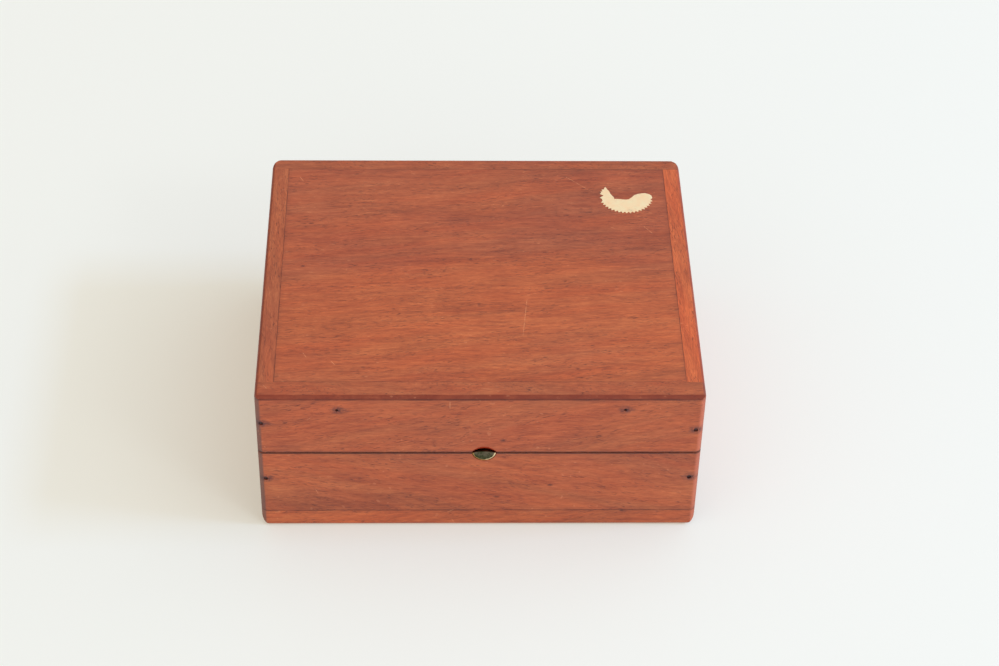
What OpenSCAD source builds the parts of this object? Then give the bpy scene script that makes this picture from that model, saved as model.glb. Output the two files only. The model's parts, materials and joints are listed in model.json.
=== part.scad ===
// A small hinged hardwood case that stores sheets of film upright in slotted racks.
// Millimetres. Origin at the centre of the underside, +X to the right along the long side,
// +Y to the hinged back, +Z up. The front with its thumb catch faces -Y.

/* [Case] */
// Outer width of the case, left to right
case_w = 150; // [130:1:180]
// Outer depth of the case, front to back, without the hinge barrels
case_d = 128; // [112:1:150]
// Outer height of the closed case
case_h = 61; // [60:0.5:70]
// Height of the base's rim, where base and lid part
seam_z = 35.1; // [34:0.1:37]
// Gap between the rims of the closed base and lid
seam_gap = 0.3; // [0.2:0.05:0.4]

/* [Boards] */
// Thickness of the lid's front wall, which houses the striker
front_t = 7.4; // [7.2:0.1:9]
// Thickness of the lid's back wall
back_t = 5.6; // [5.4:0.1:8]
// Thickness of the lid's side walls
side_t = 6.1; // [5:0.1:8]
// Extra thickness of the base walls, which keeps the lip clear of the lid
lip_gap = 0.35; // [0.3:0.05:0.5]
// Thickness of the board planted under the base walls
bottom_t = 7.4; // [6:0.1:8]
// Thickness of the panel set in the top of the lid
panel_t = 7; // [6:0.1:8]

/* [Edges] */
// Rounding of the two upright corners at the front
corner_front_r = 2.2; // [0.8:0.1:2.4]
// Rounding of the two upright corners at the back
corner_back_r = 5; // [2:0.1:5.5]
// Rounding of the side edges of the underside
foot_side_r = 4.6; // [2:0.1:5]
// Rounding of the front and back edges of the underside
foot_r = 1.5; // [0.8:0.1:2.5]
// Rounding of the side edges of the top
top_side_r = 1.3; // [0.6:0.1:1.5]
// Rounding of the back edge of the top
top_r = 0.9; // [0.4:0.1:1.5]
// Chamfer along the front edge of the top
front_chamfer = 1.3; // [0.5:0.1:1.5]

/* [Racks] */
// Thickness of the slotted racks along the front and back
rack_t = 6.4; // [6:0.1:8]
// Thickness of the plain liners at the two sides
liner_t = 3; // [2:0.1:5]
// Height that racks and liners stand above the base's rim
lip_h = 4; // [2:0.1:5]
// Distance from one slot to the next
slot_pitch = 5.4; // [4.5:0.1:8]
// Width of a slot
slot_w = 1.8; // [1:0.1:2.4]
// Depth of a slot
slot_depth = 3; // [1.5:0.1:3.4]
// Thickness of the felt on the floor
floor_felt_t = 0.8; // [0.5:0.1:1.5]
// Thickness of the felt under the lid panel
lid_felt_t = 0.7; // [0.5:0.1:1.5]

/* [Hinges] */
// Distance of each hinge from the middle of the case
hinge_x = 42; // [30:1:48]
// Length of a hinge
hinge_len = 25; // [20:1:30]
// Radius of the hinge barrel
barrel_r = 1.7; // [1.5:0.1:2]
// Radius of the hinge pin
pin_r = 0.75; // [0.6:0.05:0.8]
// Thickness of a hinge leaf
leaf_t = 0.9; // [0.8:0.05:1]

/* [Catch] */
// Place of the thumb button along the front
catch_x = 1.45; // [-10:0.05:10]
// Radius of the thumb button
button_r = 4.1; // [3.6:0.1:4.5]
// Travel of the thumb button into the front wall
button_travel = 1.5; // [1:0.1:1.5]
// Height of the thumb scoop in the lid's front wall
scoop_h = 2.7; // [1.5:0.1:2.8]

/* [Hidden] */
$fn = 48;

wood = "sienna";
inner_wood = "peru";
brass = "goldenrod";
steel = "slategray";
iron = "dimgray";
felt = "darkslategray";

eps = 0.01;      // overlap of a cutter past the face it cuts
fit = 0.02;      // clearance of a nail or screw in its hole
loose = 0.05;    // clearance of a let-in plate in its recess

// Outer faces
left = -case_w / 2;
right = case_w / 2;
front = -case_d / 2;
back = case_d / 2;
lid_z = seam_z + seam_gap;

// Inner faces of the base walls; the lid walls are thinner by lip_gap
in_x = right - side_t - lip_gap;
in_front = front + front_t + lip_gap;
in_back = back - back_t - lip_gap;

// Racks and liners
lip_z = seam_z + lip_h;
rack_front_y = in_front + rack_t;
rack_back_y = in_back - rack_t;
liner_x = in_x - liner_t;
slot_count = floor((2 * liner_x - slot_w - 1) / slot_pitch) + 1;
slot_foot = 2;   // solid wood left under each slot

// Hinge axis: on the back face, half way up the seam
pin_y = back + seam_gap / 2;
pin_z = seam_z + seam_gap / 2;
knuckles = 5;
knuckle_gap = 0.2;
knuckle_len = hinge_len / knuckles;
barrel_room = 0.35;                      // air round the barrel
pin_play = 0.05;                         // running clearance in the lid's knuckles
leaf_in = 5.4;                           // reach of a leaf from the back face
leaf_edge = pin_y - barrel_r - 0.15;     // where a leaf stops beside the other's knuckle
leaf_screw_y = (back - leaf_in + leaf_edge) / 2;
leaf_screws = [-8.5, 0, 8.5];

// Catch, from the front face inwards
button_face = front + 0.15;
button_t = 1.9;
pocket_r = button_r + 0.15;
pocket_depth = button_t + button_travel + 0.2;
button_lift = 0.6;                       // button's centre above the seam, with the top cut off
dish_rim = 0.4;                          // width of the rim round the dished face
dish_sphere = 11;
scoop_half = 4.35;                       // half the width of the scoop's mouth
scoop_depth = 2;
stem_r = 1.2;
stem_bore_r = stem_r + 0.07;
stem_drop = 2;                           // stem axis below the seam
stem_z = seam_z - stem_drop;
groove_w = 7;                            // groove for the spring in the front wall
groove_y = in_front - 2.95;
pad_y = in_front - 2.35;                 // shallower foot of the groove, under the spring
pad_z = 20;
groove_z = 10;
collar_r = 2.1;
collar_t = 0.5;
spring_w = 5;
spring_t = 0.6;
spring_foot_z = groove_z + 0.6;
spring_top_z = lid_z + 3.9;
tooth_z = lid_z + 1.15;
tooth_out = 1.3;
spring_screw_z = [12.6, 17.2];
rack_relief = 1.2;                       // hollow behind the bent spring in the front rack
striker_t = 0.9;
striker_w = 13;
striker_front = in_front - 5.3;
striker_slot_front = pad_y - 0.7;
striker_screw_x = 4.9;
mortise_front = pad_y - 2;
mortise_h = 4.8;
lid_in_front = front + front_t;

// Nails: [x, z] on the front walls, as driven; the back repeats them in even places.
// They stay the same distance from the sides when the width changes.
nail_r = 0.75;
nail_len = 15;
nail_sunk = 0.5;
base_nails = [[left + 2.3, 23], [right - 3.3, 23.5]];
lid_nails = [[left + 1.8, case_h - 12], [right - 2.6, case_h - 15.1]];
pin_nails = [[-47.8, case_h - 5.9], [48.2, case_h - 5.8]];
pin_nail_r = 0.5;
pin_nail_len = 12;
bottom_nail_len = 16;
bottom_nail_inset = 4.4;   // from the outer faces, into the middle of the walls
bottom_nail_along = [36, 40];   // distance from the middle along the long and the short walls

// What is left of a round pinked label
label_at = [54.35, 42.6];
label_r = 10;
label_t = 0.1;
label_teeth = 43;
label_tooth = 0.9;
label_from = 198;    // angles between which the pinked edge survives
label_to = 347;
// The torn edge over the top, from right to left, and the ragged teeth down the left side
torn_edge = [[9.6, -1.1], [9.3, 0.3], [8.7, 0.9], [7.2, 1.65], [5.7, 1.5], [4.3, 1.15],
             [3, 0.4], [1.9, -1], [0.85, -1.95], [-0.3, -2.15], [-1.8, -1.9], [-3.35, -1.75],
             [-4.35, -1.75], [-4.45, -0.85], [-4.9, -0.05], [-5.6, 1.3], [-6, 2.8],
             [-6.55, 3.75], [-7.1, 5.1], [-7.7, 4.7], [-7.7, 3.9], [-8.7, 3.6], [-8.4, 2.7],
             [-9.2, 2.4], [-8.8, 1.8], [-9.5, 1.3], [-8.1, 0.2], [-9.6, -1.1], [-8.9, -1.6]];

// ---------- shared shapes ----------

// What lies outside an arc of radius r at the corner p; into points along both edges.
module corner_waste(p, into, r) {
    translate(p) difference() {
        translate([into.x > 0 ? -1 : -r, into.y > 0 ? -1 : -r]) square(r + 1);
        translate(r * into) circle(r);
    }
}

// The case seen from above
module plan() {
    difference() {
        translate([left, front]) square([case_w, case_d]);
        for (s = [-1, 1]) {
            corner_waste([s * right, front], [-s, 1], corner_front_r);
            corner_waste([s * right, back], [-s, -1], corner_back_r);
        }
    }
}

// The case seen from the front
module front_view() {
    difference() {
        translate([left, 0]) square([case_w, case_h]);
        for (s = [-1, 1]) {
            corner_waste([s * right, 0], [-s, 1], foot_side_r);
            corner_waste([s * right, case_h], [-s, -1], top_side_r);
        }
    }
}

// The case seen from the side, front to the left, with the chamfer at its top front edge
module side_view() {
    difference() {
        polygon([[front, 0], [back, 0], [back, case_h], [front + front_chamfer, case_h],
                 [front, case_h - front_chamfer]]);
        corner_waste([front, 0], [1, 1], foot_r);
        corner_waste([back, 0], [-1, 1], foot_r);
        corner_waste([back, case_h], [-1, -1], top_r);
    }
}

// The whole case as one block with its outer edges eased
module envelope() {
    intersection() {
        translate([0, 0, -1]) linear_extrude(case_h + 2) plan();
        rotate([90, 0, 0]) linear_extrude(case_d + 2, center = true) front_view();
        rotate([90, 0, 90]) linear_extrude(case_w + 2, center = true) side_view();
    }
}

module box_between(low, high) {
    translate(low) cube(high - low);
}

// A board between two corners, with the case's outer edges eased where it meets them
module board(low, high) {
    intersection() {
        box_between(low, high);
        envelope();
    }
}

// A headless nail along +Y from the origin, its end sunk below the surface
module nail(r, length, grow = 0) {
    rotate([-90, 0, 0]) translate([0, 0, grow > 0 ? -eps : nail_sunk])
        cylinder(r = r + grow, h = length - (grow > 0 ? 0 : nail_sunk));
}

// A flat-headed wood screw pointing down -Z, its slotted head flush with z = 0
module wood_screw(head_r, head_h, shank_r, length, slot_turn = 0) {
    difference() {
        union() {
            translate([0, 0, -head_h]) cylinder(r1 = shank_r, r2 = head_r, h = head_h);
            translate([0, 0, -length]) cylinder(r = shank_r, h = length - head_h + eps);
        }
        rotate(slot_turn) translate([-head_r, -0.15, -0.35]) cube([2 * head_r, 0.3, 1]);
    }
}

// The hole that such a screw fills
module screw_hole(head_r, head_h, shank_r, length) {
    translate([0, 0, -head_h]) cylinder(r1 = shank_r + fit, r2 = head_r + fit, h = head_h);
    translate([0, 0, -length - fit]) cylinder(r = shank_r + fit, h = length);
    translate([0, 0, -eps]) cylinder(r = head_r + fit, h = 1);
}

// Puts its children at [x, z] places on the front face, or mirrored onto the back face
module on_front(places) {
    for (p = places) translate([p.x, front, p.y]) children();
}

module on_back(places) {
    for (p = places) translate([p.x, back, p.y]) mirror([0, 1, 0]) children();
}

// The back's nails stand in even places
function evened(places) = [for (s = [-1, 1]) [s * (right - 5), places[0].y]];

// ---------- base ----------

module base_front_wall() {
    color(wood) difference() {
        board([left, front, bottom_t], [right, in_front, seam_z]);
        on_front(base_nails) nail(nail_r, nail_len, fit);
        bottom_nail_places() bottom_nail(fit);
        // Pocket for the lower part of the round thumb button, and the bore for its stem
        translate([catch_x, front - eps, seam_z + button_lift]) rotate([-90, 0, 0])
            cylinder(r = pocket_r, h = pocket_depth);
        translate([catch_x, front, stem_z]) rotate([-90, 0, 0])
            cylinder(r = stem_bore_r, h = front_t);
        // Groove for the latch spring, deeper above its foot
        box_between([catch_x - groove_w / 2, groove_y, pad_z],
                    [catch_x + groove_w / 2, in_front + 1, seam_z + 1]);
        box_between([catch_x - groove_w / 2, pad_y, groove_z],
                    [catch_x + groove_w / 2, in_front + 1, pad_z + eps]);
        for (z = spring_screw_z) translate([catch_x, pad_y - 4.2, z]) rotate([-90, 0, 0])
            cylinder(r = 0.6 + fit, h = 6);
    }
}

module base_back_wall() {
    color(wood) difference() {
        board([left, in_back, bottom_t], [right, back, seam_z]);
        on_back(evened(base_nails)) nail(nail_r, nail_len, fit);
        bottom_nail_places() bottom_nail(fit);
        for (s = [-1, 1]) {
            hinge_recess(s, seam_z - leaf_t, seam_z + 1);
            at_leaf_screws(s, seam_z) screw_hole(1.4, 0.75, 0.6, 7);
        }
    }
}

module base_side_wall(s) {
    color(wood) difference() {
        board([min(s * right, s * in_x), in_front, bottom_t],
              [max(s * right, s * in_x), in_back, seam_z]);
        on_front(base_nails) nail(nail_r, nail_len, fit);
        on_back(evened(base_nails)) nail(nail_r, nail_len, fit);
        bottom_nail_places() bottom_nail(fit);
    }
}

module base_left_wall() { base_side_wall(-1); }

module base_right_wall() { base_side_wall(1); }

module bottom_board() {
    color(wood) difference() {
        board([left, front, 0], [right, back, bottom_t]);
        bottom_nail_places() bottom_nail(fit);
    }
}

// A row of slots cut into a rack's inner face; face is the rack's inner face
module slots(face, out) {
    for (i = [0 : slot_count - 1]) {
        x = (i - (slot_count - 1) / 2) * slot_pitch;
        box_between([x - slot_w / 2, min(face, face + out * slot_depth) - (out > 0 ? 1 : 0),
                     bottom_t + slot_foot],
                    [x + slot_w / 2, max(face, face + out * slot_depth) + (out < 0 ? 1 : 0),
                     lip_z + 1]);
    }
}

module slot_rack_front() {
    color(inner_wood) difference() {
        box_between([-in_x, in_front, bottom_t], [in_x, rack_front_y, lip_z]);
        slots(rack_front_y, -1);
        box_between([catch_x - groove_w / 2, in_front - 1, pad_z],
                    [catch_x + groove_w / 2, in_front + rack_relief, lip_z + 1]);
    }
}

module slot_rack_back() {
    color(inner_wood) difference() {
        box_between([-in_x, rack_back_y, bottom_t], [in_x, in_back, lip_z]);
        slots(rack_back_y, 1);
    }
}

module liner(s) {
    color(inner_wood)
        box_between([min(s * in_x, s * liner_x), rack_front_y, bottom_t],
                    [max(s * in_x, s * liner_x), rack_back_y, lip_z]);
}

module liner_left() { liner(-1); }

module liner_right() { liner(1); }

module floor_felt() {
    color(felt) box_between([-liner_x, rack_front_y, bottom_t],
                            [liner_x, rack_back_y, bottom_t + floor_felt_t]);
}

// ---------- lid ----------

module lid_front_wall() {
    color(wood) difference() {
        board([left, front, lid_z], [right, lid_in_front, case_h]);
        on_front(lid_nails) nail(nail_r, nail_len, fit);
        on_front(pin_nails) nail(pin_nail_r, pin_nail_len, fit);
        thumb_scoop();
        // Striker let into the rim, and the mortise above it for the spring's tooth
        box_between([catch_x - striker_w / 2 - loose, striker_front - loose, lid_z - 1],
                    [catch_x + striker_w / 2 + loose, lid_in_front + 1, lid_z + striker_t]);
        box_between([catch_x - groove_w / 2, mortise_front, lid_z],
                    [catch_x + groove_w / 2, lid_in_front + 1, lid_z + mortise_h]);
        at_striker_screws() screw_hole(1.1, 0.7, 0.5, 6);
    }
}

// A shallow spherical scoop above the button, its mouth an arc of height scoop_h
module thumb_scoop() {
    mouth_r = (scoop_half * scoop_half + scoop_h * scoop_h) / (2 * scoop_h);
    out = (scoop_half * scoop_half - scoop_depth * scoop_depth) / (2 * scoop_depth);
    translate([catch_x, front - out, lid_z + scoop_h - mouth_r])
        sphere(sqrt(mouth_r * mouth_r + out * out));
}

module lid_back_wall() {
    color(wood) difference() {
        board([left, back - back_t, lid_z], [right, back, case_h]);
        on_back(evened(lid_nails)) nail(nail_r, nail_len, fit);
        for (s = [-1, 1]) {
            hinge_recess(s, lid_z - 1, lid_z + leaf_t);
            at_leaf_screws(s, lid_z) mirror([0, 0, 1]) screw_hole(1.4, 0.75, 0.6, 7);
        }
    }
}

module lid_side_wall(s) {
    inner = right - side_t;
    color(wood) difference() {
        board([min(s * right, s * inner), lid_in_front, lid_z],
              [max(s * right, s * inner), back - back_t, case_h]);
        on_front(lid_nails) nail(nail_r, nail_len, fit);
        on_back(evened(lid_nails)) nail(nail_r, nail_len, fit);
    }
}

module lid_left_wall() { lid_side_wall(-1); }

module lid_right_wall() { lid_side_wall(1); }

module lid_panel() {
    color(wood) difference() {
        box_between([-right + side_t, lid_in_front, case_h - panel_t],
                    [right - side_t, back - back_t, case_h]);
        on_front(pin_nails) nail(pin_nail_r, pin_nail_len, fit);
    }
}

module lid_felt() {
    color(felt) box_between([-right + side_t, lid_in_front, case_h - panel_t - lid_felt_t],
                            [right - side_t, back - back_t, case_h - panel_t]);
}

// ---------- hinges ----------

// Recess in a back rim for hinge s's leaf, and the hollow round its barrel
module hinge_recess(s, z_low, z_high) {
    half = hinge_len / 2 + loose;
    box_between([s * hinge_x - half, back - leaf_in - loose, z_low],
                [s * hinge_x + half, back + 1, z_high]);
    translate([s * hinge_x - half, pin_y, pin_z]) rotate([0, 90, 0])
        cylinder(r = barrel_r + barrel_room, h = 2 * half);
}

module at_leaf_screws(s, z) {
    for (dx = leaf_screws) translate([s * hinge_x + dx, leaf_screw_y, z]) children();
}

// One leaf of hinge s between two heights; its knuckles are every second one from first
module hinge_leaf(s, z_low, z_high, first, bore_r) {
    start = s * hinge_x - hinge_len / 2;
    difference() {
        union() {
            box_between([start, back - leaf_in, z_low], [start + hinge_len, leaf_edge, z_high]);
            for (k = [first : 2 : knuckles - 1]) {
                x0 = start + k * knuckle_len + (k == 0 ? 0 : knuckle_gap / 2);
                x1 = start + (k + 1) * knuckle_len - (k == knuckles - 1 ? 0 : knuckle_gap / 2);
                box_between([x0, leaf_edge - 1, z_low], [x1, pin_y, z_high]);
                translate([x0, pin_y, pin_z]) rotate([0, 90, 0])
                    cylinder(r = barrel_r, h = x1 - x0);
            }
        }
        translate([start - 1, pin_y, pin_z]) rotate([0, 90, 0])
            cylinder(r = bore_r, h = hinge_len + 2);
    }
}

module base_leaf(s) {
    color(brass) difference() {
        hinge_leaf(s, seam_z - leaf_t, seam_z, 0, pin_r + fit);
        at_leaf_screws(s, seam_z) screw_hole(1.4, 0.75, 0.6, 7);
    }
}

module lid_leaf(s) {
    color(brass) difference() {
        hinge_leaf(s, lid_z, lid_z + leaf_t, 1, pin_r + pin_play);
        at_leaf_screws(s, lid_z) mirror([0, 0, 1]) screw_hole(1.4, 0.75, 0.6, 7);
    }
}

// A plain pin through all the knuckles, flush with the barrel's ends
module hinge_pin(s) {
    color(brass) translate([s * hinge_x - hinge_len / 2, pin_y, pin_z]) rotate([0, 90, 0])
        cylinder(r = pin_r, h = hinge_len);
}

module base_leaf_screws(s) {
    color(brass) at_leaf_screws(s, seam_z) wood_screw(1.4, 0.75, 0.6, 7, 35);
}

module lid_leaf_screws(s) {
    color(brass) at_leaf_screws(s, lid_z) mirror([0, 0, 1]) wood_screw(1.4, 0.75, 0.6, 7, 70);
}

module hinge_base_leaf_left() { base_leaf(-1); }

module hinge_base_leaf_right() { base_leaf(1); }

module hinge_lid_leaf_left() { lid_leaf(-1); }

module hinge_lid_leaf_right() { lid_leaf(1); }

module hinge_pin_left() { hinge_pin(-1); }

module hinge_pin_right() { hinge_pin(1); }

module hinge_base_screws_left() { base_leaf_screws(-1); }

module hinge_base_screws_right() { base_leaf_screws(1); }

module hinge_lid_screws_left() { lid_leaf_screws(-1); }

module hinge_lid_screws_right() { lid_leaf_screws(1); }

// ---------- catch ----------

// Segment of a round head with a dished face, on a stem that reaches the latch spring
module catch_button() {
    dish_r = button_r - dish_rim;
    stem_end = pad_y - 0.05;
    color(brass) difference() {
        union() {
            intersection() {
                translate([catch_x, button_face, seam_z + button_lift]) rotate([-90, 0, 0])
                    cylinder(r = button_r, h = button_t);
                box_between([catch_x - button_r, front, seam_z - button_r - 1],
                            [catch_x + button_r, 0, seam_z - 0.05]);
            }
            translate([catch_x, button_face + button_t / 2, stem_z]) rotate([-90, 0, 0])
                cylinder(r = stem_r, h = stem_end - button_face - button_t / 2);
        }
        translate([catch_x, button_face - sqrt(dish_sphere * dish_sphere - dish_r * dish_r),
                   seam_z + button_lift])
            sphere(dish_sphere);
    }
}

// Ring pressed on the stem behind the wall, which keeps the button from falling out
module button_collar() {
    color(brass) translate([catch_x, groove_y + 0.06, stem_z]) rotate([-90, 0, 0])
        difference() {
            cylinder(r = collar_r, h = collar_t - 0.1);
            translate([0, 0, -1]) cylinder(r = stem_r, h = collar_t + 2);
        }
}

// A flat strip of spring steel whose sloped tooth hooks forward over the striker
module latch_spring() {
    color(steel) difference() {
        translate([catch_x, 0, 0]) rotate([90, 0, 90])
            linear_extrude(spring_w, center = true)
                polygon([[pad_y, spring_foot_z], [pad_y + spring_t, spring_foot_z],
                         [pad_y + spring_t, spring_top_z], [pad_y, spring_top_z],
                         [pad_y - tooth_out, tooth_z + 0.6], [pad_y - tooth_out, tooth_z],
                         [pad_y, tooth_z]]);
        for (z = spring_screw_z) translate([catch_x, pad_y - 1, z]) rotate([-90, 0, 0])
            cylinder(r = 0.6 + fit, h = 3);
    }
}

// Two cheese-headed screws that hold the spring's foot to the wall
module latch_spring_screws() {
    color(steel) for (z = spring_screw_z) translate([catch_x, pad_y + spring_t, z])
        rotate([-90, 0, 0]) difference() {
            union() {
                cylinder(r = 1.2, h = 0.7);
                translate([0, 0, -4.5]) cylinder(r = 0.6, h = 4.5 + eps);
            }
            translate([-1.5, -0.15, 0.4]) cube([3, 0.3, 1]);
        }
}

module at_striker_screws() {
    for (s = [-1, 1])
        translate([catch_x + s * striker_screw_x, (striker_front + lid_in_front) / 2, lid_z])
            mirror([0, 0, 1]) children();
}

// Brass plate in the lid's rim; the tooth reaches through its slot and hooks its front edge
module striker_plate() {
    color(brass) difference() {
        box_between([catch_x - striker_w / 2, striker_front, lid_z],
                    [catch_x + striker_w / 2, lid_in_front, lid_z + striker_t]);
        box_between([catch_x - spring_w / 2 - 0.4, striker_slot_front, lid_z - 1],
                    [catch_x + spring_w / 2 + 0.4, lid_in_front + 1, lid_z + 2]);
        at_striker_screws() screw_hole(1.1, 0.7, 0.5, 6);
    }
}

module striker_screws() {
    color(brass) at_striker_screws() wood_screw(1.1, 0.7, 0.5, 6, 20);
}

// ---------- nails and pins ----------

module bottom_nail_places() {
    for (sx = [-1, 1], sy = [-1, 1]) {
        translate([sx * (right - bottom_nail_inset), sy * bottom_nail_along.y, 0]) children();
        translate([sx * bottom_nail_along.x, sy * (back - bottom_nail_inset), 0]) children();
    }
}

module bottom_nail(grow = 0) {
    rotate([90, 0, 0]) nail(nail_r, bottom_nail_len, grow);
}

module base_front_nails() { color(iron) on_front(base_nails) nail(nail_r, nail_len); }

module base_back_nails() { color(iron) on_back(evened(base_nails)) nail(nail_r, nail_len); }

module bottom_nails() { color(iron) bottom_nail_places() bottom_nail(); }

module lid_front_nails() { color(iron) on_front(lid_nails) nail(nail_r, nail_len); }

module lid_back_nails() { color(iron) on_back(evened(lid_nails)) nail(nail_r, nail_len); }

module panel_pins() { color(iron) on_front(pin_nails) nail(pin_nail_r, pin_nail_len); }

// ---------- label ----------

// A point of the pinked rim: odd points are the tips of its teeth
function rim_point(i) =
    let (a = label_from + (label_to - label_from) * i / rim_steps,
         r = label_r - (i % 2 == 0 ? label_tooth : 0))
    r * [cos(a), sin(a)];

rim_steps = 2 * round(label_teeth * (label_to - label_from) / 360);

module paper_label() {
    color("wheat") translate([label_at.x, label_at.y, case_h])
        linear_extrude(label_t)
            polygon(concat([for (i = [0 : rim_steps]) rim_point(i)], torn_edge));
}

base_front_wall();
base_back_wall();
base_left_wall();
base_right_wall();
bottom_board();
slot_rack_front();
slot_rack_back();
liner_left();
liner_right();
floor_felt();
hinge_base_leaf_left();
hinge_base_leaf_right();
hinge_pin_left();
hinge_pin_right();
hinge_base_screws_left();
hinge_base_screws_right();
latch_spring();
latch_spring_screws();
base_front_nails();
base_back_nails();
bottom_nails();
lid_front_wall();
lid_back_wall();
lid_left_wall();
lid_right_wall();
lid_panel();
lid_felt();
hinge_lid_leaf_left();
hinge_lid_leaf_right();
hinge_lid_screws_left();
hinge_lid_screws_right();
striker_plate();
striker_screws();
lid_front_nails();
lid_back_nails();
panel_pins();
paper_label();
catch_button();
button_collar();
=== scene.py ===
"""A small hinged hardwood case for film sheets: softened boards, procedural finishes, soft studio light."""
import json
import math

import bmesh
import bpy
from mathutils import Matrix, Vector, noise


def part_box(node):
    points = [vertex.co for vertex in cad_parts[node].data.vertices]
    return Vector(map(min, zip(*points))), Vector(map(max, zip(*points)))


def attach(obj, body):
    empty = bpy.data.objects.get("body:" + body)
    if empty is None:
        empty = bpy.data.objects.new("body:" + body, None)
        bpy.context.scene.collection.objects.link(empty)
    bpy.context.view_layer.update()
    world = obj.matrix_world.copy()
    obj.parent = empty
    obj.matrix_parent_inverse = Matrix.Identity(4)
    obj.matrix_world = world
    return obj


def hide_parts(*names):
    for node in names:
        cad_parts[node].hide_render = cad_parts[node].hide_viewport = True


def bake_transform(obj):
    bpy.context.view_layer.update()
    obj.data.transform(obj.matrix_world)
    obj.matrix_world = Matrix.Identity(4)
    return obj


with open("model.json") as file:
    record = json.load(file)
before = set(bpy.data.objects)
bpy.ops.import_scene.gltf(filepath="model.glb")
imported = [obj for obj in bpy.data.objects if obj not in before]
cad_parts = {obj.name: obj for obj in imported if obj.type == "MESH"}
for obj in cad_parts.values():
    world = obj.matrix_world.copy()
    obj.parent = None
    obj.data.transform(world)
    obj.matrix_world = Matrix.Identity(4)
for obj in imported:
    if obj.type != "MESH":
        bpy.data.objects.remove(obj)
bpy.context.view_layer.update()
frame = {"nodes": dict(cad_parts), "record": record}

MM = 0.001
NODES = frame["nodes"]
BODY_OF = {n: b for b, ns in frame["record"]["behaviour"]["bodies"].items() for n in ns}
SLOT_OF = {s["node"]: s["material_slot"] for s in frame["record"]["subparts"]}

# ---------------------------------------------------------------- places taken from the frame

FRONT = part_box("base_front_wall")[0][1]
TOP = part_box("lid_panel")[1][2]
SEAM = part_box("base_front_wall")[1][2]
LID_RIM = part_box("lid_front_wall")[0][2]
PANEL_LOW, PANEL_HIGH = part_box("lid_panel")
BUTTON_LOW, BUTTON_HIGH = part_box("catch_button")
BUTTON_X = (BUTTON_LOW[0] + BUTTON_HIGH[0]) / 2


def on_top(x_mm, y_mm):
    """A point on the top of the lid, in metres."""
    return (x_mm * MM, y_mm * MM, TOP)


def on_front(x_mm, z_mm):
    """A point on the front face, in metres."""
    return (x_mm * MM, FRONT, z_mm * MM)


def rgb(r, g, b):
    """A linear colour from 0 to 255 screen values."""
    def linear(c):
        c /= 255
        return c / 12.92 if c <= 0.04045 else ((c + 0.055) / 1.055) ** 2.4
    return (linear(r), linear(g), linear(b), 1.0)


# ---------------------------------------------------------------- node-tree helper

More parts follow.
